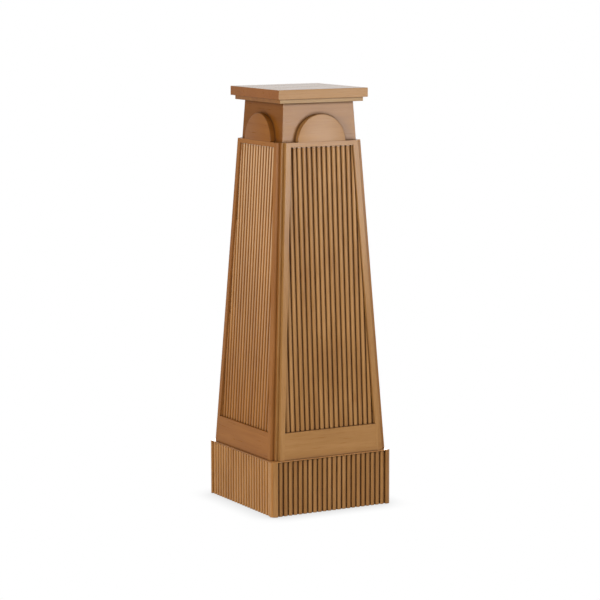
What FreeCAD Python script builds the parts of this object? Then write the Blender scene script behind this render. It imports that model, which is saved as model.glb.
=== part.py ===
"""Tapered pedestal column stand with reeded panels, half-disc neck ornaments and a reeded plinth.

Millimetres, +Z up. The origin is at the centre of the footprint, on the floor.
The front of the stand is the -Y side, its right-hand side is +X, and all four sides are alike.
"""
import FreeCAD
import Part

import math
import os

Vector = FreeCAD.Vector

# ---------------------------------------------------------------- driving dimensions

# heights, from the floor up
glide_thickness = 2.0
plinth_height = 127.0
body_height = 715.0
neck_height = 88.5
under_slab_thickness = 9.5
slab_thickness = 21.0

# sides of the square sections, and how far the next section stands inside each
plinth_side = 313.0
plinth_ledge = 5.8
body_top_side = 218.2
body_ledge = 13.3
neck_top_side = 181.6
slab_side = 231.0
slab_overhang = 8.0

# reeding, shared by the plinth and the four panels
reed_pitch = 12.7
groove_width = 4.6
groove_depth = 4.7
reed_crown_rise = 1.0

# plinth
plinth_board_thickness = 18.0
plinth_corner_radius = 12.0
plinth_reed_setback = 2.0
deck_lip_thickness = 1.6
deck_thickness = 12.0
deck_edge_ease = 0.8
plinth_block_side = 32.0
glide_radius = 9.5

# tapered core box
core_board_thickness = 12.0
core_bottom_thickness = 12.0
core_top_thickness = 12.0
spreader_thickness = 9.0

# frames and reeded panels applied to the core box
frame_thickness = 9.0
corner_setback = 7.0
stile_width = 12.7
top_rail_height = 10.5
bottom_rail_height = 62.0
panel_thickness = 6.4
panel_recess = 1.8
panel_end_bevel = 2.4

# neck
neck_board_thickness = 12.0
neck_post_side = 22.0
half_disc_radius = 62.0
half_disc_thickness = 9.0
half_disc_edge_ease = 0.8

# top
slab_edge_ease = 1.0

# hexagon-head wood screws, one size throughout
screw_shank_radius = 3.0
screw_length = 25.0
screw_head_height = 4.0
screw_head_across_flats = 10.0
base_screw_spacing = 150.0
slab_screw_spacing = 84.0

# ---------------------------------------------------------------- levels and tapers

plinth_bottom_z = glide_thickness
plinth_top_z = plinth_bottom_z + plinth_height
body_top_z = plinth_top_z + body_height
neck_top_z = body_top_z + neck_height
slab_bottom_z = neck_top_z + under_slab_thickness
overall_height = slab_bottom_z + slab_thickness

deck_lip_z = plinth_top_z - deck_lip_thickness
deck_bottom_z = deck_lip_z - deck_thickness

panel_bottom_z = plinth_top_z + bottom_rail_height
panel_top_z = body_top_z - top_rail_height

plinth_half = plinth_side / 2
plinth_inner_half = plinth_half - plinth_board_thickness
body_bottom_side = plinth_side - 2 * plinth_ledge
neck_bottom_side = body_top_side - 2 * body_ledge
under_slab_side = slab_side - 2 * slab_overhang

body_taper = math.atan2((body_bottom_side - body_top_side) / 2, body_height)
neck_taper = math.atan2((neck_bottom_side - neck_top_side) / 2, neck_height)

SIDES = (("front", 0), ("right", 90), ("back", 180), ("left", 270))
CORNERS = (("front_left", 0), ("front_right", 90), ("back_right", 180), ("back_left", 270))


def between(z, low_z, low_value, high_z, high_value):
    """Value at height z on a straight taper."""
    return low_value + (high_value - low_value) * (z - low_z) / (high_z - low_z)


def frame_half(z):
    """Half the side of the body at height z, over the applied frames."""
    return between(z, plinth_top_z, body_bottom_side / 2, body_top_z, body_top_side / 2)


def core_half(z):
    """Half the side of the core box at height z."""
    return frame_half(z) - frame_thickness / math.cos(body_taper)


def core_inner_half(z):
    return core_half(z) - core_board_thickness / math.cos(body_taper)


def frame_end(z):
    """Distance from a face's centre line to the raked outer edge of its stiles."""
    return core_half(z) - corner_setback


def opening_half(z):
    """Half the width of the opening between two stiles."""
    return frame_end(z) - stile_width


def neck_half(z):
    return between(z, body_top_z, neck_bottom_side / 2, neck_top_z, neck_top_side / 2)


def neck_inner_half(z):
    return neck_half(z) - neck_board_thickness / math.cos(neck_taper)


# ---------------------------------------------------------------- building blocks

def turned(shape, degrees):
    """A copy turned about the vertical axis, from the front to another side."""
    copy = shape.copy()
    copy.rotate(Vector(0, 0, 0), Vector(0, 0, 1), degrees)
    return copy


def six_sided(lower, upper):
    """Solid between two four-cornered outlines whose corners are in the same order."""
    loops = [list(lower), list(upper)]
    for i in range(4):
        j = (i + 1) % 4
        loops.append([lower[i], lower[j], upper[j], upper[i]])
    faces = [Part.Face(Part.makePolygon(loop + [loop[0]])) for loop in loops]
    shell = Part.makeShell(faces)
    solid = Part.makeSolid(shell)
    if solid.Volume < 0:
        solid.reverse()
    return solid


def tapered_block(z_low, z_high, x_low_edge, x_high_edge, y_outer, y_inner):
    """Block with level ends; each side is given as a function of height."""
    def outline(z):
        return [
            Vector(x_low_edge(z), y_outer(z), z),
            Vector(x_high_edge(z), y_outer(z), z),
            Vector(x_high_edge(z), y_inner(z), z),
            Vector(x_low_edge(z), y_inner(z), z),
        ]
    return six_sided(outline(z_low), outline(z_high))


def mitred_board(z_low, z_high, outer_half, inner_half):
    """One side of a tapered box, with both ends cut on the box's diagonals."""
    def outline(z):
        outer = outer_half(z)
        inner = inner_half(z)
        return [
            Vector(-outer, -outer, z),
            Vector(outer, -outer, z),
            Vector(inner, -inner, z),
            Vector(-inner, -inner, z),
        ]
    return six_sided(outline(z_low), outline(z_high))


def tapered_square(z_low, z_high, half):
    """Board that fills a tapered box between two heights."""
    def outline(z):
        side = half(z)
        return [
            Vector(-side, -side, z),
            Vector(side, -side, z),
            Vector(side, side, z),
            Vector(-side, side, z),
        ]
    return six_sided(outline(z_low), outline(z_high))


def square_board(side, z_low, thickness):
    return Part.makeBox(side, side, thickness, Vector(-side / 2, -side / 2, z_low))


def eased_upright_corners(board, radius):
    """Round the four vertical corners of a square board."""
    edges = [e for e in board.Edges if abs(e.tangentAt(e.FirstParameter).z) > 0.99]
    return board.makeFillet(radius, edges)


def top_rim(board, z):
    """Edges of a board that lie at height z."""
    def at_rim(edge):
        box = edge.BoundBox
        return abs(box.ZMin - z) < 1e-6 and abs(box.ZMax - z) < 1e-6
    return [e for e in board.Edges if at_rim(e)]


# ---------------------------------------------------------------- reeding

def reed_groove_points(centre, face_y):
    """Walls and floor of one groove, from its left shoulder to its right shoulder."""
    shoulder_y = face_y + reed_crown_rise
    floor_y = face_y + groove_depth
    left = centre - groove_width / 2
    right = centre + groove_width / 2
    return [
        Vector(left, shoulder_y, 0),
        Vector(left, floor_y, 0),
        Vector(right, floor_y, 0),
        Vector(right, shoulder_y, 0),
    ]


def reeded_run(groove_count_each_side, face_y):
    """Edges of a reeded face in plan, from the first groove's left shoulder to the last one's right."""
    edges = []
    previous = None
    for k in range(-groove_count_each_side, groove_count_each_side + 1):
        points = reed_groove_points(k * reed_pitch, face_y)
        if previous is not None:
            crown = Vector((previous.x + points[0].x) / 2, face_y, 0)
            edges.append(Part.Arc(previous, crown, points[0]).toShape())
        edges += [Part.LineSegment(points[i], points[i + 1]).toShape() for i in range(3)]
        previous = points[3]
    return edges


# ---------------------------------------------------------------- plinth

def plinth_groove_count():
    """Grooves on each side of the centre groove, all clear of the rounded corners."""
    room = plinth_half - plinth_corner_radius - groove_width / 2
    return int(room // reed_pitch)


def plinth_board():
    """Front board of the plinth: reeded between plain ends that are rounded and mitred.

    The reeds stand a little behind the plain ends, which look like posts at the corners.
    """
    count = plinth_groove_count()
    reed_face_y = plinth_reed_setback - plinth_half
    post_x = count * reed_pitch + groove_width / 2
    corner_centre = plinth_half - plinth_corner_radius

    def on_corner(sign, degrees):
        """Point on a rounded corner, turned away from the board's face."""
        turn = math.radians(degrees)
        x = corner_centre + plinth_corner_radius * math.sin(turn)
        y = corner_centre + plinth_corner_radius * math.cos(turn)
        return Vector(sign * x, -y, 0)

    def corner_edges(sign):
        """Side and face of a plain end, half the corner's rounding and the mitre."""
        shoulder = Vector(sign * post_x, reed_face_y + reed_crown_rise, 0)
        post_edge = Vector(sign * post_x, -plinth_half, 0)
        inner_end = Vector(sign * plinth_inner_half, -plinth_inner_half, 0)
        return [
            Part.LineSegment(shoulder, post_edge).toShape(),
            Part.LineSegment(post_edge, on_corner(sign, 0)).toShape(),
            Part.Arc(on_corner(sign, 0), on_corner(sign, 22.5), on_corner(sign, 45)).toShape(),
            Part.LineSegment(on_corner(sign, 45), inner_end).toShape(),
        ]

    back = Part.LineSegment(
        Vector(-plinth_inner_half, -plinth_inner_half, 0),
        Vector(plinth_inner_half, -plinth_inner_half, 0)).toShape()
    edges = reeded_run(count, reed_face_y) + corner_edges(1) + corner_edges(-1) + [back]
    outline = Part.Wire(Part.__sortEdges__(edges))
    board = Part.Face(outline).extrude(Vector(0, 0, deck_lip_z - plinth_bottom_z))
    board.translate(Vector(0, 0, plinth_bottom_z))
    return board


def plinth_deck(screws):
    """Board that closes the plinth: it drops inside the four boards and its lip covers their tops."""
    lip = square_board(plinth_side, deck_lip_z, deck_lip_thickness)
    lip = eased_upright_corners(lip, plinth_corner_radius)
    lip = lip.makeChamfer(deck_edge_ease, top_rim(lip, plinth_top_z))
    inset = square_board(2 * plinth_inner_half, deck_bottom_z, deck_thickness)
    return lip.fuse(inset).cut(screws)


def plinth_corner_block():
    """Glue block in the front left corner of the plinth, under the deck."""
    corner = Vector(-plinth_inner_half, -plinth_inner_half, plinth_bottom_z)
    height = deck_bottom_z - plinth_bottom_z
    return Part.makeBox(plinth_block_side, plinth_block_side, height, corner)


def glides():
    """Four nailed-on glides, one under each corner block, as separate discs."""
    place = plinth_inner_half - plinth_block_side / 2
    disc = Part.makeCylinder(glide_radius, glide_thickness, Vector(-place, -place, 0))
    return Part.makeCompound([turned(disc, angle) for _, angle in CORNERS])


# ---------------------------------------------------------------- core box

def core_panel():
    """One side of the core box, with a shallow recess that the reeded panel is let into."""
    board = mitred_board(plinth_top_z, body_top_z, core_half, core_inner_half)
    return board.cut(between_stiles(panel_bottom_z, panel_top_z, recess_floor))


def core_bottom_board(screws):
    top = plinth_top_z + core_bottom_thickness
    return tapered_square(plinth_top_z, top, core_inner_half).cut(screws)


def core_spreader():
    """Board that keeps the core box square at half its height."""
    low = (plinth_top_z + body_top_z - spreader_thickness) / 2
    return tapered_square(low, low + spreader_thickness, core_inner_half)


def core_top_board(posts):
    return tapered_square(body_top_z - core_top_thickness, body_top_z, core_inner_half).cut(posts)


# ---------------------------------------------------------------- applied frames and panels

def outer_face(z):
    return -frame_half(z)


def core_face(z):
    return -core_half(z)


def recess_floor(z):
    return core_face(z) + panel_recess / math.cos(body_taper)


def left_stile():
    return tapered_block(
        plinth_top_z, body_top_z,
        lambda z: -frame_end(z), lambda z: -opening_half(z), outer_face, core_face)


def right_stile():
    return tapered_block(
        plinth_top_z, body_top_z,
        lambda z: opening_half(z), lambda z: frame_end(z), outer_face, core_face)


def between_stiles(z_low, z_high, back):
    """Block between the two stiles, from the frame's face in to the given back."""
    return tapered_block(
        z_low, z_high,
        lambda z: -opening_half(z), lambda z: opening_half(z), outer_face, back)


def rail(z_low, z_high):
    return between_stiles(z_low, z_high, core_face)


def top_bevel():
    """Wedge that bevels the upper ends of the reeds."""
    face_y = recess_floor(panel_top_z) - panel_thickness / math.cos(body_taper)
    front = face_y - panel_thickness
    back = face_y + panel_end_bevel + panel_thickness
    low = panel_top_z - panel_end_bevel - panel_thickness
    high = panel_top_z + panel_thickness
    profile = [Vector(0, front, low), Vector(0, back, high), Vector(0, front, high)]
    half_length = opening_half(plinth_top_z)
    wedge = Part.Face(Part.makePolygon(profile + [profile[0]]))
    wedge.translate(Vector(-half_length, 0, 0))
    return wedge.extrude(Vector(2 * half_length, 0, 0))


def reeded_panel():
    """Panel of upright reeds that the raked stiles cut off on both sides."""
    count = int(opening_half(panel_bottom_z) // reed_pitch) + 1
    end_x = count * reed_pitch + groove_width / 2
    shoulder_y = reed_crown_rise - panel_thickness
    run = reeded_run(count, -panel_thickness)
    sides = [
        Part.LineSegment(Vector(-end_x, shoulder_y, 0), Vector(-end_x, 0, 0)).toShape(),
        Part.LineSegment(Vector(-end_x, 0, 0), Vector(end_x, 0, 0)).toShape(),
        Part.LineSegment(Vector(end_x, 0, 0), Vector(end_x, shoulder_y, 0)).toShape(),
    ]
    outline = Part.Wire(Part.__sortEdges__(run + sides))
    reeds = Part.Face(outline).extrude(Vector(0, 0, body_height))
    reeds.rotate(Vector(0, 0, 0), Vector(1, 0, 0), -math.degrees(body_taper))
    reeds.translate(Vector(0, recess_floor(plinth_top_z), plinth_top_z))
    bed = between_stiles(panel_bottom_z, panel_top_z, recess_floor)
    return reeds.common(bed).cut(top_bevel())


# ---------------------------------------------------------------- neck

def neck_board():
    return mitred_board(body_top_z, neck_top_z, neck_half, neck_inner_half)


def neck_corner_post():
    """Post in the neck's front left corner; its foot goes through the core's top board."""
    def outer(z):
        return -neck_inner_half(z)

    def inner(z):
        return neck_post_side - neck_inner_half(z)

    return tapered_block(body_top_z - core_top_thickness, neck_top_z, outer, inner, outer, inner)


def half_disc():
    """Half-round ornament that stands on the body's top edge against the front of the neck."""
    outward = Vector(0, -math.cos(neck_taper), math.sin(neck_taper))
    centre = Vector(0, -neck_half(body_top_z), body_top_z)
    disc = Part.makeCylinder(half_disc_radius, half_disc_thickness, centre, outward)
    middle = half_disc_thickness / 2
    rims = [e for e in disc.Edges if e.Closed]
    outer_rim = [e for e in rims if (e.CenterOfMass - centre).dot(outward) > middle]
    disc = disc.makeChamfer(half_disc_edge_ease, outer_rim)
    reach = 2 * half_disc_radius
    corner = Vector(-reach, centre.y - reach, body_top_z - reach)
    return disc.cut(Part.makeBox(2 * reach, 2 * reach, reach, corner))


# ---------------------------------------------------------------- top

def under_slab(screws):
    return square_board(under_slab_side, neck_top_z, under_slab_thickness).cut(screws)


def top_slab(screws):
    slab = square_board(slab_side, slab_bottom_z, slab_thickness)
    slab = slab.makeFillet(slab_edge_ease, top_rim(slab, overall_height))
    return slab.cut(screws)


# ---------------------------------------------------------------- screws

def wood_screw(x, y, seat_z):
    """Hexagon-head screw that points up, its head under seat_z."""
    corner = screw_head_across_flats / 2 / math.cos(math.radians(30))
    angles = [math.radians(60 * i) for i in range(7)]
    hexagon = Part.makePolygon([Vector(corner * math.cos(a), corner * math.sin(a), 0) for a in angles])
    head = Part.Face(hexagon).extrude(Vector(0, 0, -screw_head_height))
    shank = Part.makeCylinder(screw_shank_radius, screw_length)
    screw = head.fuse(shank)
    screw.translate(Vector(x, y, seat_z))
    return screw


def base_screws():
    """Four screws on the corners of a square, up through the deck into the core box."""
    screw = wood_screw(-base_screw_spacing / 2, -base_screw_spacing / 2, deck_bottom_z)
    return [turned(screw, angle) for _, angle in CORNERS]


def slab_screws():
    """Two screws from inside the neck, up through the under-slab into the slab."""
    screw = wood_screw(slab_screw_spacing / 2, 0, neck_top_z)
    return [screw, turned(screw, 180)]


# ---------------------------------------------------------------- assembly

def build():
    """Every piece of the stand by name."""
    in_base = base_screws()
    in_slab = slab_screws()
    neck_posts = [turned(neck_corner_post(), angle) for _, angle in CORNERS]

    pieces = {
        "glides": glides(),
        "plinth_deck": plinth_deck(in_base),
        "core_bottom_board": core_bottom_board(in_base),
        "core_spreader": core_spreader(),
        "core_top_board": core_top_board(neck_posts),
        "under_slab": under_slab(in_slab),
        "top_slab": top_slab(in_slab),
        "base_screws": Part.makeCompound(in_base),
        "slab_screws": Part.makeCompound(in_slab),
    }
    side_pieces = {
        "plinth_board": plinth_board(),
        "core_panel": core_panel(),
        "left_stile": left_stile(),
        "right_stile": right_stile(),
        "bottom_rail": rail(plinth_top_z, panel_bottom_z),
        "top_rail": rail(panel_top_z, body_top_z),
        "reeded_panel": reeded_panel(),
        "neck_board": neck_board(),
        "half_disc": half_disc(),
    }
    corner_pieces = {
        "plinth_corner_block": plinth_corner_block(),
        "neck_corner_post": neck_corner_post(),
    }
    for side, angle in SIDES:
        for name, shape in side_pieces.items():
            pieces[side + "_" + name] = turned(shape, angle)
    for corner, angle in CORNERS:
        for name, shape in corner_pieces.items():
            pieces[corner + "_" + name] = turned(shape, angle)
    return pieces


def main():
    os.makedirs("parts", exist_ok=True)
    for name, shape in build().items():
        shape.exportStep("parts/" + name + ".step")


main()
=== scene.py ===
"""Studio picture of the pedestal column stand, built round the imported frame.

Lengths are in metres. The front is the -Y side, and the other sides follow it anticlockwise as seen from
above: right, back, left.
"""

import math

import bmesh
import bpy
from mathutils import Matrix, Vector


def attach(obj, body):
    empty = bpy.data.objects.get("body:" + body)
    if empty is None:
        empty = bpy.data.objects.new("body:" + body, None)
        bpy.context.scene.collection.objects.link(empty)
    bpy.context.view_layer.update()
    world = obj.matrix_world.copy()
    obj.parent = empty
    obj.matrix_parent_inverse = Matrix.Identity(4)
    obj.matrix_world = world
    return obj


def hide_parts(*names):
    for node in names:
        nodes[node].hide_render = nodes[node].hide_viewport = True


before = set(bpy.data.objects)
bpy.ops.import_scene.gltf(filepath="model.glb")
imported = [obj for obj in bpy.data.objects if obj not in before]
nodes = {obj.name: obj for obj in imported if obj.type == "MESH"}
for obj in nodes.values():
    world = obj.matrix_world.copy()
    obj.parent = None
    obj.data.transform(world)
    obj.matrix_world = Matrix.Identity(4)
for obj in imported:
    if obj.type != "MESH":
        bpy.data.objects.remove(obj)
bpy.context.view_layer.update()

SIDES = ("front", "right", "back", "left")
CORNERS = ("front_left", "front_right", "back_right", "back_left")
QUARTER_TURN = math.radians(90)


def add_object(name, data):
    """Puts a new object with this data in the scene."""
    thing = bpy.data.objects.new(name, data)
    bpy.context.scene.collection.objects.link(thing)
    return thing


# ---------------------------------------------------------------- shader nodes

WHITE = (1.0, 1.0, 1.0, 1.0)
OPENNESS_SAMPLES = 8
# The mix node has sockets of the same name for each kind of value, so these go by number.
MIX_FACTOR, MIX_A, MIX_B, MIX_RESULT = 0, 6, 7, 2


def new_material(name):
    material = bpy.data.materials.new(name)
    material.use_nodes = True
    material.node_tree.nodes.clear()
    return material


class Graph:
    """Short names for adding and joining shader nodes."""

    def __init__(self, tree):
        self.tree = tree

    def add(self, kind, **settings):
        node = self.tree.nodes.new(kind)
        for key, value in settings.items():
            setattr(node, key, value)
        return node

    def join(self, a, b):
        self.tree.links.new(a, b)

    def feed(self, socket, value):
        """Joins an output to a socket, or sets the socket's own value."""
        if isinstance(value, bpy.types.NodeSocket):
            self.join(value, socket)
        else:
            socket.default_value = value

    def math(self, operation, a, b=None, clamp=False):
        node = self.add("ShaderNodeMath", operation=operation, use_clamp=clamp)
        self.feed(node.inputs[0], a)
        if b is not None:
            self.feed(node.inputs[1], b)
        return node.outputs[0]

    def parts(self, vector):
        """The X, Y and Z outputs of a vector."""
        node = self.add("ShaderNodeSeparateXYZ")
        self.join(vector, node.inputs[0])
        return node.outputs

    def noise(self, vector, scale, detail, roughness=0.5, distortion=0.0):
        node = self.add("ShaderNodeTexNoise")
        self.join(vector, node.inputs["Vector"])
        node.inputs["Scale"].default_value = scale
        node.inputs["Detail"].default_value = detail
        node.inputs["Roughness"].default_value = roughness
        node.inputs["Distortion"].default_value = distortion
        return node.outputs["Fac"]

    def ramp(self, value, stops):
        """Colours between (position, colour) stops."""
        node = self.add("ShaderNodeValToRGB")
        self.join(value, node.inputs["Fac"])
        elements = node.color_ramp.elements
        while len(elements) < len(stops):
            elements.new(0.5)
        for element, (position, colour) in zip(elements, stops):
            element.position = position
            element.color = (*colour, 1.0)
        return node.outputs["Color"]

    def span(self, value, source, low, high):
        """Turns the source range, a pair, into low to high, and clamps it there."""
        node = self.add("ShaderNodeMapRange")
        self.join(value, node.inputs["Value"])
        node.inputs["From Min"].default_value, node.inputs["From Max"].default_value = source
        node.inputs["To Min"].default_value = low
        node.inputs["To Max"].default_value = high
        return node.outputs["Result"]

    def openness(self, reach, samples=OPENNESS_SAMPLES):
        """1 in the open and less where other surfaces stand within reach."""
        node = self.add("ShaderNodeAmbientOcclusion", samples=samples, only_local=False)
        node.inputs["Distance"].default_value = reach
        return node.outputs["AO"]

    def mix(self, factor, a, b, blend="MIX"):
        """Colour a, with b laid over it by factor. b may be a plain colour."""
        node = self.add("ShaderNodeMix", data_type="RGBA", blend_type=blend)
        self.feed(node.inputs[MIX_FACTOR], factor)
        self.feed(node.inputs[MIX_A], a)
        self.feed(node.inputs[MIX_B], (*b, 1.0) if isinstance(b, tuple) else b)
        return node.outputs[MIX_RESULT]

    def bump(self, height, strength, distance):
        node = self.add("ShaderNodeBump")
        node.inputs["Strength"].default_value = strength
        node.inputs["Distance"].default_value = distance
        self.join(height, node.inputs["Height"])
        return node

    def skin(self, colour, roughness, normal):
        """A principled surface, joined to the material's output."""
        node = self.add("ShaderNodeBsdfPrincipled")
        self.join(colour, node.inputs["Base Color"])
        self.join(roughness, node.inputs["Roughness"])
        self.join(normal, node.inputs["Normal"])
        out = self.add("ShaderNodeOutputMaterial")
        self.join(node.outputs["BSDF"], out.inputs["Surface"])
        return node

    def seen(self):
        """1 for rays from the camera, also by mirror or glass, and 0 for those that light the stand."""
        path = self.add("ShaderNodeLightPath")
        direct = self.math("ADD", path.outputs["Is Camera Ray"], path.outputs["Is Glossy Ray"], clamp=True)
        return self.math("ADD", direct, path.outputs["Is Transmission Ray"], clamp=True)

    def choose(self, factor, a, b):
        """Shader a where factor is 0 and b where it is 1."""
        node = self.add("ShaderNodeMixShader")
        self.join(factor, node.inputs["Fac"])
        self.join(a.outputs[0], node.inputs[1])
        self.join(b.outputs[0], node.inputs[2])
        return node.outputs[0]


# ---------------------------------------------------------------- wood

# The stain from light to dark, and what lies on it: glaze with painted shade for hollows, painted sheen for
# reed crowns, a painted highlight for upper ends, and the end grain's tint.
PALE = (0.435, 0.205, 0.062)
MID = (0.365, 0.163, 0.042)
DEEP = (0.295, 0.120, 0.026)
GLAZE_AND_SHADE = (0.085, 0.033, 0.010)
PAINTED_SHEEN = (0.72, 0.46, 0.25)
TIP_HIGHLIGHT = (0.82, 0.60, 0.42)
END_GRAIN = (0.73, 0.44, 0.06)

# Grain: noise stretched along the fibres. The turn brings the fibres' axis to Z.
FIBRE_TURN = {"x": (0.0, QUARTER_TURN, 0.0), "y": (QUARTER_TURN, 0.0, 0.0), "z": (0.0, 0.0, 0.0)}
SEED_STEP = (1.37, 2.11, 0.73)
FIBRE_STRETCH = (1.0, 1.0, 0.06)
CLOUD = {"scale": 7.0, "detail": 3.0, "roughness": 0.55}
FIGURE = {"scale": 42.0, "detail": 5.0, "roughness": 0.6, "distortion": 0.35}
STREAK = {"scale": 230.0, "detail": 4.0, "roughness": 0.6}
PORE = {"scale": 900.0, "detail": 2.0, "roughness": 0.5}
FIGURE_SHARE, STREAK_SHARE, CLOUD_SHARE = 0.55, 0.25, 0.2
MIDDLE, HALF_RANGE = 0.5, 0.16
PORE_RANGE, PORE_DARKNESS = (0.58, 0.72), 0.35

# Each range is what a measured value runs through while its effect comes in or goes: how open the place
# is, how squarely the surface looks along an axis, or its height.
# Glaze and painted shade in hollows, and painted shade in narrow seams, come in as the place closes in.
GLAZE_AND_SHADE_OPENNESS = (0.48, 0.84)
SEAM_SHADE_REACH, SEAM_SHADE_OPENNESS = 0.003, (0.6, 0.95)
# Painted sheen on reed crowns, and the heights over which it changes.
CROWN_RANGE = (0.86, 0.99)
SHEEN_HEIGHTS = (0.2, 0.83)
RIM_RANGE, RIM_DARKENING = (0.3, 0.8), 0.22
ARRIS_IN, ARRIS_OUT, ARRIS_DARKENING = (0.1, 0.4), (0.9, 0.99), 0.55
TIP_HIGHLIGHT_RANGE = (0.4, 0.6)
END_RANGE = (0.7, 0.95)

# Varnish.
GLOSS_RANGE, SMOOTHEST, ROUGHEST = (0.3, 0.7), 0.26, 0.35
GLAZE_AND_SHADE_DULLNESS = 0.3
LEVEL_RANGE, LEVEL_POLISH = (0.7, 0.95), 0.12
RELIEF_DEPTH, PORE_RELIEF = 0.0004, 0.5
ROUNDING_SAMPLES, REED_ROUNDING_SAMPLES = 4, 8


def grain_colour(g, place, grain, seed, tint, contrast):
    """Stained colour along the fibres, with the streak and pore noise that the varnish uses too."""
    turn = g.add("ShaderNodeMapping")
    turn.inputs["Rotation"].default_value = FIBRE_TURN[grain]
    turn.inputs["Location"].default_value = [seed * step for step in SEED_STEP]
    g.join(place, turn.inputs["Vector"])
    stretch = g.add("ShaderNodeMapping")
    stretch.inputs["Scale"].default_value = FIBRE_STRETCH
    g.join(turn.outputs["Vector"], stretch.inputs["Vector"])
    along = stretch.outputs["Vector"]

    cloud = g.noise(turn.outputs["Vector"], **CLOUD)
    figure = g.noise(along, **FIGURE)
    streak = g.noise(along, **STREAK)
    pore = g.noise(along, **PORE)

    shade = g.math("ADD", g.math("MULTIPLY", figure, FIGURE_SHARE), g.math("MULTIPLY", streak, STREAK_SHARE))
    shade = g.math("ADD", shade, g.math("MULTIPLY", cloud, CLOUD_SHARE))
    half = HALF_RANGE / contrast
    stain = g.ramp(shade, ((MIDDLE - half, DEEP), (MIDDLE, MID), (MIDDLE + half, PALE)))
    stain = g.mix(1.0, stain, tint, "MULTIPLY")
    return g.mix(g.span(pore, PORE_RANGE, 0.0, PORE_DARKNESS), stain, DEEP), streak, pore


def paint_crown_sheen(g, colour, place, softened, face, crown_sheen):
    """Painted sheen on the crowns of a reeded board, by how squarely the softened surface looks outward."""
    outward = g.math("ABSOLUTE", g.parts(softened)[face])
    crown = g.span(outward, CROWN_RANGE, 0.0, 1.0)
    at_top, at_foot = crown_sheen
    fade = g.span(g.parts(place)["Z"], SHEEN_HEIGHTS, at_foot, at_top)
    return g.mix(g.math("MULTIPLY", crown, fade), colour, PAINTED_SHEEN)


def darken_edge(g, colour, outward):
    """A darker rim on a board, and darker still on the rounded arris between rim and face."""
    colour = g.mix(g.span(outward, RIM_RANGE, RIM_DARKENING, 0.0), colour, GLAZE_AND_SHADE)
    comes_in = g.span(outward, ARRIS_IN, 0.0, ARRIS_DARKENING)
    goes_out = g.span(outward, ARRIS_OUT, 1.0, 0.0)
    return g.mix(g.math("MULTIPLY", comes_in, goes_out), colour, GLAZE_AND_SHADE)


def wood(name, grain, seed, tint=(1.0, 1.0, 1.0), sheen=0.2, rounding=0.0006, glaze_and_shade=0.92, reach=0.0045,
         contrast=1.0, relief=0.12, face=None, crown_sheen=None, edge=None, ends=None, tips=0.0):
    """Stained wood under satin varnish. grain is the axis the fibres run along.

    sheen is the varnish's specular level, and rounding is how far arrises are softened.
    glaze_and_shade is how dark the hollows get, out to reach: partly glaze settled there and partly painted
    shade.
    contrast and relief are the grain's colour and depth.
    face is the axis a reeded board looks along, and crown_sheen is how far the crowns of its reeds get a
    painted sheen, at the body's top and at its foot. A reeded board also has painted shade in its narrow
    seams.
    edge is the axis a board's face looks along, if its rim and arris are darker.
    ends is the axis that a board's ends or edges look along, and their tint over the rest.
    tips is how far upper ends get a painted highlight.
    """
    material = new_material(name)
    g = Graph(material.node_tree)
    place = g.add("ShaderNodeTexCoord").outputs["Object"]
    colour, streak, pore = grain_colour(g, place, grain, seed, tint, contrast)

    facing = g.parts(g.add("ShaderNodeNewGeometry").outputs["True Normal"])
    soften = g.add("ShaderNodeBevel", samples=REED_ROUNDING_SAMPLES if face else ROUNDING_SAMPLES)
    soften.inputs["Radius"].default_value = rounding
    softened = soften.outputs["Normal"]
    if face:
        colour = paint_crown_sheen(g, colour, place, softened, face, crown_sheen)

    # Hollows and contacts are darkened by how closed in they are: partly glaze settled there and partly
    # painted shade. Reeded boards also get painted shade in their narrow seams.
    glaze_and_shade_amount = g.span(g.openness(reach), GLAZE_AND_SHADE_OPENNESS, glaze_and_shade, 0.0)
    if face:
        seam_shade = g.span(g.openness(SEAM_SHADE_REACH), SEAM_SHADE_OPENNESS, glaze_and_shade, 0.0)
        glaze_and_shade_amount = g.math("MAXIMUM", glaze_and_shade_amount, seam_shade)
    colour = g.mix(glaze_and_shade_amount, colour, GLAZE_AND_SHADE)
    if edge:
        colour = darken_edge(g, colour, g.math("ABSOLUTE", facing[edge]))
    # Painted highlight on upward-looking faces.
    if tips:
        colour = g.mix(g.span(facing["Z"], TIP_HIGHLIGHT_RANGE, 0.0, tips), colour, TIP_HIGHLIGHT)
    if ends:
        axis, end_tint = ends
        at_end = g.span(g.math("ABSOLUTE", facing[axis]), END_RANGE, 0.0, 1.0)
        colour = g.mix(at_end, colour, g.mix(1.0, colour, end_tint, "MULTIPLY"))

    roughness = g.span(streak, GLOSS_RANGE, SMOOTHEST, ROUGHEST)
    roughness = g.math("ADD", roughness, g.math("MULTIPLY", glaze_and_shade_amount, GLAZE_AND_SHADE_DULLNESS))
    level = g.span(facing["Z"], LEVEL_RANGE, 0.0, 1.0)
    roughness = g.math("SUBTRACT", roughness, g.math("MULTIPLY", level, LEVEL_POLISH), clamp=True)

    texture = g.math("ADD", streak, g.math("MULTIPLY", pore, PORE_RELIEF))
    bump = g.bump(texture, relief, RELIEF_DEPTH)
    g.join(softened, bump.inputs["Normal"])
    skin = g.skin(colour, roughness, bump.outputs["Normal"])
    skin.inputs["Specular IOR Level"].default_value = sheen
    return material


# ---------------------------------------------------------------- hidden wood, steel and plastic

RAW_WOOD = (0.55, 0.40, 0.24)
ZINC = (0.6, 0.6, 0.58)
BROWN_PLASTIC = (0.06, 0.04, 0.03)
MOTTLE = {"scale": 300.0, "detail": 3.0}
MOTTLE_RANGE = (0.3, 0.7)
MOTTLE_DARK, MOTTLE_LIGHT = 0.85, 1.1
MOTTLE_SMOOTHER, MOTTLE_ROUGHER = 0.06, 0.08
MOTTLE_RELIEF, MOTTLE_DEPTH = 0.1, 0.0003


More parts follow.
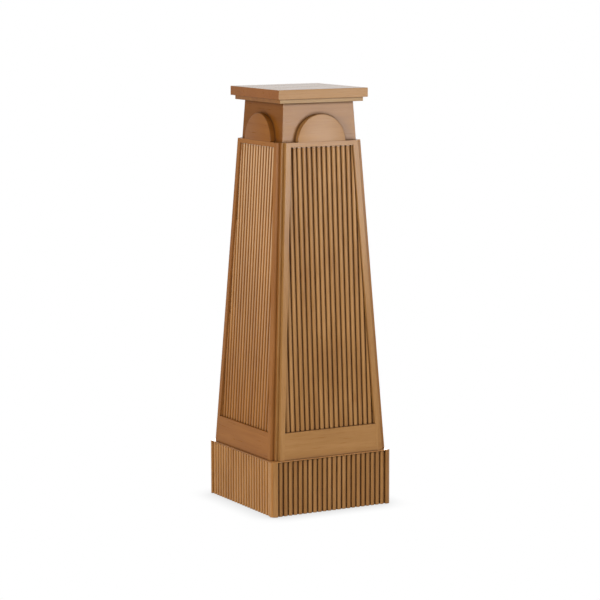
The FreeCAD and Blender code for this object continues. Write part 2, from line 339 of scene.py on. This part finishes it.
def plain(name, colour, roughness, metallic=0.0):
    """Evenly coloured stuff with a little mottling and wear."""
    material = new_material(name)
    g = Graph(material.node_tree)
    place = g.add("ShaderNodeTexCoord").outputs["Object"]
    mottle = g.noise(place, **MOTTLE)
    shade = g.span(mottle, MOTTLE_RANGE, MOTTLE_DARK, MOTTLE_LIGHT)
    grey = g.add("ShaderNodeCombineColor")
    for socket in grey.inputs:
        g.join(shade, socket)
    mottled = g.mix(1.0, (*colour, 1.0), grey.outputs["Color"], "MULTIPLY")
    patchy = g.span(mottle, MOTTLE_RANGE, roughness - MOTTLE_SMOOTHER, roughness + MOTTLE_ROUGHER)
    bump = g.bump(mottle, MOTTLE_RELIEF, MOTTLE_DEPTH)
    skin = g.skin(mottled, patchy, bump.outputs["Normal"])
    skin.inputs["Metallic"].default_value = metallic
    return material


# ---------------------------------------------------------------- half discs

# The photo's half discs are thicker than the frame's, and their arrises are rounded.
HALF_DISC_THICKNESS = 0.0127
HALF_DISC_ARRIS = 0.002
ARRIS_STEPS, ARC_STEPS = 4, 64
SHARP_ANGLE = math.radians(30)
SAME_LEVEL = 0.0001


def points_of(name):
    """The corners of a frame node's mesh, in the scene's space."""
    node = nodes[name]
    return [node.matrix_world @ vertex.co for vertex in node.data.vertices]


def neck_face():
    """Foot and top of the front neck board's outer face, at its middle."""
    points = points_of("front_neck_board")
    heights = [point.z for point in points]
    ends = []
    for level in (min(heights), max(heights)):
        outermost = min(point.y for point in points if abs(point.z - level) < SAME_LEVEL)
        ends.append(Vector((0.0, outermost, level)))
    return ends


def half_disc_section(radius):
    """Depth from the neck and radius, from the back edge over the rounded arris to the face."""
    section = [(0.0, radius)]
    for step in range(ARRIS_STEPS + 1):
        angle = QUARTER_TURN * step / ARRIS_STEPS
        depth = HALF_DISC_THICKNESS - HALF_DISC_ARRIS * (1 - math.sin(angle))
        section.append((depth, radius - HALF_DISC_ARRIS * (1 - math.cos(angle))))
    return section


def half_disc(side, turns):
    """Half disc on the body's top edge, against the neck, so many quarter turns from the front."""
    radius = max(point.x for point in points_of("front_half_disc"))
    centre, neck_top = neck_face()
    across = Vector((1.0, 0.0, 0.0))
    up = (neck_top - centre).normalized()
    out = Vector((0.0, -up.z, up.y))

    turn = Matrix.Rotation(QUARTER_TURN * turns, 4, "Z")
    shape = bmesh.new()
    rings = []
    for depth, reach in half_disc_section(radius):
        # Each ring ends on the body's level top, so it starts a little below its own middle.
        first = -math.asin(depth * out.z / (reach * up.z))
        ring = []
        for step in range(ARC_STEPS + 1):
            angle = first + (math.pi - 2 * first) * step / ARC_STEPS
            point = centre + out * depth + (across * math.cos(angle) + up * math.sin(angle)) * reach
            ring.append(shape.verts.new(turn @ point))
        rings.append(ring)
    for inner, outer in zip(rings, rings[1:]):
        for step in range(ARC_STEPS):
            face = shape.faces.new((inner[step], inner[step + 1], outer[step + 1], outer[step]))
            face.smooth = True
    back, front = rings[0], rings[-1]
    shape.faces.new(front)
    shape.faces.new(back[::-1])
    shape.faces.new([ring[0] for ring in rings] + [ring[-1] for ring in rings[::-1]])
    bmesh.ops.recalc_face_normals(shape, faces=shape.faces)

    mesh = bpy.data.meshes.new(side + "_half_round")
    shape.to_mesh(mesh)
    shape.free()
    mesh.set_sharp_from_angle(angle=SHARP_ANGLE)
    piece = add_object(side + "_half_round", mesh)
    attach(piece, "root")
    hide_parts(side + "_half_disc")
    return piece


# ---------------------------------------------------------------- which wood goes where

def by_side(front, left, right, back=None):
    """Looks for each side. The back has the right side's look, unless it has its own."""
    return {"front": front, "right": right, "back": back or right, "left": left}


# These tints by side paint light and shade: the left side darker and more orange as painted shade, the front
# paler and greyer as painted sheen, and the neck boards darker, most of all on the left, as painted shade
# under the top slab. The hollows' glaze and painted shade, and the painted crown sheen, also differ by side
# to paint this light.
LIT_FLATS = by_side(
    front={"tint": (0.92, 0.98, 1.03), "sheen": 0.3},
    left={"tint": (0.86, 0.70, 0.44), "sheen": 0.1},
    right={"tint": (0.97, 0.95, 0.95), "sheen": 0.2},
    back={"tint": (0.98, 0.97, 0.97), "sheen": 0.2},
)
LIT_NECKS = by_side(
    front={"tint": (0.80, 0.82, 0.87), "sheen": 0.28},
    left={"tint": (0.57, 0.42, 0.20), "sheen": 0.06},
    right={"tint": (0.84, 0.82, 0.82), "sheen": 0.2},
)
LIT_REEDS = by_side(
    front={"tint": (0.92, 0.97, 1.03), "sheen": 0.28, "glaze_and_shade": 0.97, "crown_sheen": (0.1, 0.0)},
    left={"tint": (0.92, 0.78, 0.52), "sheen": 0.2, "glaze_and_shade": 0.45, "crown_sheen": (0.85, 0.05)},
    right={"tint": (1.0, 0.98, 0.95), "sheen": 0.25, "crown_sheen": (0.2, 0.05)},
)
LIT_PLINTHS = by_side(
    front={"tint": (0.87, 0.91, 0.96), "sheen": 0.25, "glaze_and_shade": 0.97, "crown_sheen": (0.0, 0.0)},
    left={"tint": (1.20, 1.20, 1.14), "sheen": 0.25, "glaze_and_shade": 0.0, "crown_sheen": (0.12, 0.12)},
    right={"tint": (0.97, 0.95, 0.92), "sheen": 0.25, "crown_sheen": (0.1, 0.1)},
)
# The sides whose cores, half discs and stile edges don't have the tint of their flat boards. These tints
# paint light and shade too:
# the left core and half disc darker as shade, and the left stiles' front and back edges paler and greyer like
# the lit front.
CORE_LIGHTING_TINTS = {"left": (0.80, 0.70, 0.60)}
DISC_LIGHTING_TINTS = {"front": (0.88, 0.93, 0.99), "left": (0.74, 0.58, 0.34)}
STRIP_EDGE_LIGHTING_TINTS = {"left": ("Y", (0.88, 0.95, 1.45))}

GRAIN_ACROSS = {"front": "x", "right": "y", "back": "x", "left": "y"}
# Each board's own place in the noise.
SEEDS = {"reeds": 3.1, "plinth": 31.4, "strips": 8.7, "core": 11.3, "rails": 14.2, "neck": 21.9, "disc": 26.3}
REEDED = {"rounding": 0.0024, "contrast": 1.6}
STRIP = {"reach": 0.0025}
CORE = {"rounding": 0.0012, "reach": 0.003, "glaze_and_shade": 0.8}
RAIL = {"reach": 0.006}
NECK = {"reach": 0.012, "contrast": 0.7}
DISC = {"contrast": 0.7}
PANEL_TIP_HIGHLIGHT = 0.95

# The top slab's and the moulding's paler, greyer tints paint in sheen.
LEVEL_BOARDS = {
    "top_slab": ("slab", 41.0, {"tint": (0.98, 1.13, 1.48), "sheen": 0.18, "contrast": 0.5, "relief": 0.02}),
    "under_slab": ("moulding", 44.0, {"tint": (0.94, 1.24, 1.8)}),
    "plinth_deck": ("deck", 47.0, {"sheen": 0.25}),
}


def dress(name, material):
    """Gives every face of a frame node one material."""
    slots = nodes[name].data.materials
    slots.clear()
    slots.append(material)


def dress_side(side, turns):
    """Woods for the pieces of one side, which is so many quarter turns from the front."""
    flat = LIT_FLATS[side]
    across = GRAIN_ACROSS[side]
    outward = "Y" if across == "x" else "X"

    def board(part, grain, **look):
        return wood(side + "_" + part, grain, SEEDS[part] + turns, **look)

    strips = board("strips", "z", ends=STRIP_EDGE_LIGHTING_TINTS.get(side), **STRIP, **flat)
    rails = board("rails", across, **RAIL, **flat)
    core_tint = CORE_LIGHTING_TINTS.get(side, flat["tint"])
    woods = {
        "reeded_panel": board("reeds", "z", face=outward, tips=PANEL_TIP_HIGHLIGHT, **REEDED, **LIT_REEDS[side]),
        "plinth_board": board("plinth", "z", face=outward, **REEDED, **LIT_PLINTHS[side]),
        "left_stile": strips,
        "right_stile": strips,
        "core_panel": board("core", "z", tint=core_tint, sheen=flat["sheen"], **CORE),
        "bottom_rail": rails,
        "top_rail": rails,
        "neck_board": board("neck", across, **NECK, **LIT_NECKS[side]),
    }
    for part, material in woods.items():
        dress(side + "_" + part, material)
    disc_tint = DISC_LIGHTING_TINTS.get(side, flat["tint"])
    disc = board("disc", across, edge=outward, tint=disc_tint, sheen=flat["sheen"], **DISC)
    half_disc(side, turns).data.materials.append(disc)


for turns, side in enumerate(SIDES):
    dress_side(side, turns)
for name, (wood_name, seed, look) in LEVEL_BOARDS.items():
    dress(name, wood(wood_name, "x", seed, ends=("X", END_GRAIN), **look))

raw = plain("raw_wood", RAW_WOOD, roughness=0.7)
for name in ("core_bottom_board", "core_spreader", "core_top_board"):
    dress(name, raw)
for corner in CORNERS:
    dress(corner + "_plinth_corner_block", raw)
    dress(corner + "_neck_corner_post", raw)
steel = plain("zinc_steel", ZINC, roughness=0.35, metallic=1.0)
dress("base_screws", steel)
dress("slab_screws", steel)
dress("glides", plain("brown_plastic", BROWN_PLASTIC, roughness=0.5))


# ---------------------------------------------------------------- studio

FLOOR_REACH = 12.0
PAPER = (0.86, 0.86, 0.86, 1.0)
SHADOW_REACH, SHADOW_SAMPLES = 0.06, 16
SHADOW_OPENNESS, SHADOW_STRENGTH = (0.45, 0.98), 0.78
DOME_COLOUR, DOME_STRENGTH = (1.0, 0.99, 0.97, 1.0), 0.2

# Azimuth 0 is in front of the stand, and 90 is to its right. Sizes are width and height.
LAMP_DISTANCE = 2.2
LAMPS = {
    "right_front": {"azimuth": 28.0, "height": 1.05, "size": (0.8, 0.95), "power": 22.5},
    "left_front": {"azimuth": -62.0, "height": 1.08, "size": (0.45, 0.7), "power": 32.0},
    "overhead": {"azimuth": -20.0, "height": 3.1, "size": (1.2, 1.2), "power": 14.0, "distance": 0.7,
                 "aim_height": 0.9},
    "back_fill": {"azimuth": 155.0, "height": 0.45, "size": (0.9, 0.8), "power": 18.0},
}

# The camera as it was fitted to the photo's edges. Its angles are in degrees, and its lens and sensor are
# in millimetres.
CAMERA_PLACE = (-2.73868, -4.90223, 1.26201)
CAMERA_AZIMUTH, CAMERA_ELEVATION, CAMERA_ROLL = -29.2134, 8.0332, -0.098
CAMERA_LENS, CAMERA_SENSOR = 146.81, 36.0
CAMERA_NEAR, CAMERA_FAR = 0.1, 60.0


def studio_floor():
    """White paper. The camera sees it as white, with a painted soft shadow round the stand's foot."""
    mesh = bpy.data.meshes.new("studio_floor")
    far = FLOOR_REACH
    mesh.from_pydata([(-far, -far, 0), (far, -far, 0), (far, far, 0), (-far, far, 0)], [], [(0, 1, 2, 3)])
    floor = add_object("studio_floor", mesh)
    material = new_material("studio_white")
    g = Graph(material.node_tree)
    paper = g.add("ShaderNodeBsdfDiffuse")
    paper.inputs["Color"].default_value = PAPER
    glow = g.add("ShaderNodeEmission")
    glow.inputs["Color"].default_value = WHITE
    # Painted shadow: the floor's glow dims where the stand is within reach.
    shelter = g.openness(SHADOW_REACH, SHADOW_SAMPLES)
    g.join(g.span(shelter, SHADOW_OPENNESS, SHADOW_STRENGTH, 1.0), glow.inputs["Strength"])
    out = g.add("ShaderNodeOutputMaterial")
    g.join(g.choose(g.seen(), paper, glow), out.inputs["Surface"])
    mesh.materials.append(material)


def studio_air():
    """White all round for the camera, and a soft grey dome for light."""
    world = bpy.data.worlds.new("studio_air")
    bpy.context.scene.world = world
    world.use_nodes = True
    world.node_tree.nodes.clear()
    g = Graph(world.node_tree)
    white = g.add("ShaderNodeBackground")
    white.inputs["Color"].default_value = WHITE
    white.inputs["Strength"].default_value = 1.0
    dome = g.add("ShaderNodeBackground")
    dome.inputs["Color"].default_value = DOME_COLOUR
    dome.inputs["Strength"].default_value = DOME_STRENGTH
    out = g.add("ShaderNodeOutputWorld")
    g.join(g.choose(g.seen(), dome, white), out.inputs["Surface"])


def softbox(name, azimuth, height, size, power, distance=LAMP_DISTANCE, aim_height=None):
    """Area light that faces the stand's axis, level unless it aims at another height."""
    angle = math.radians(azimuth)
    place = Vector((math.sin(angle) * distance, -math.cos(angle) * distance, height))
    aim = Vector((0.0, 0.0, height if aim_height is None else aim_height))
    data = bpy.data.lights.new(name, "AREA")
    data.shape = "RECTANGLE"
    data.size, data.size_y = size
    data.energy = power
    lamp = add_object(name, data)
    lamp.location = place
    lamp.rotation_mode = "QUATERNION"
    lamp.rotation_quaternion = (aim - place).to_track_quat("-Z", "Y")
    lamp.visible_camera = False


def studio_camera():
    """Camera that looks at the stand from the fitted place, a little from the left and from above."""
    data = bpy.data.cameras.new("camera")
    data.sensor_width = CAMERA_SENSOR
    data.lens = CAMERA_LENS
    data.clip_start, data.clip_end = CAMERA_NEAR, CAMERA_FAR
    azimuth, elevation, roll = map(math.radians, (CAMERA_AZIMUTH, CAMERA_ELEVATION, CAMERA_ROLL))
    level = math.cos(elevation)
    back = Vector((math.sin(azimuth) * level, -math.cos(azimuth) * level, math.sin(elevation)))
    right = Vector((math.cos(azimuth), math.sin(azimuth), 0.0))
    up = back.cross(right)
    rolled_right = right * math.cos(roll) + up * math.sin(roll)
    rolled_up = up * math.cos(roll) - right * math.sin(roll)
    axes = Matrix((rolled_right, rolled_up, back)).transposed()
    camera = add_object("camera", data)
    camera.matrix_world = Matrix.Translation(Vector(CAMERA_PLACE)) @ axes.to_4x4()
    bpy.context.scene.camera = camera


studio_floor()
studio_air()
for lamp_name, lamp_settings in LAMPS.items():
    softbox(lamp_name, **lamp_settings)
studio_camera()

bpy.context.scene.view_settings.view_transform = "Standard"
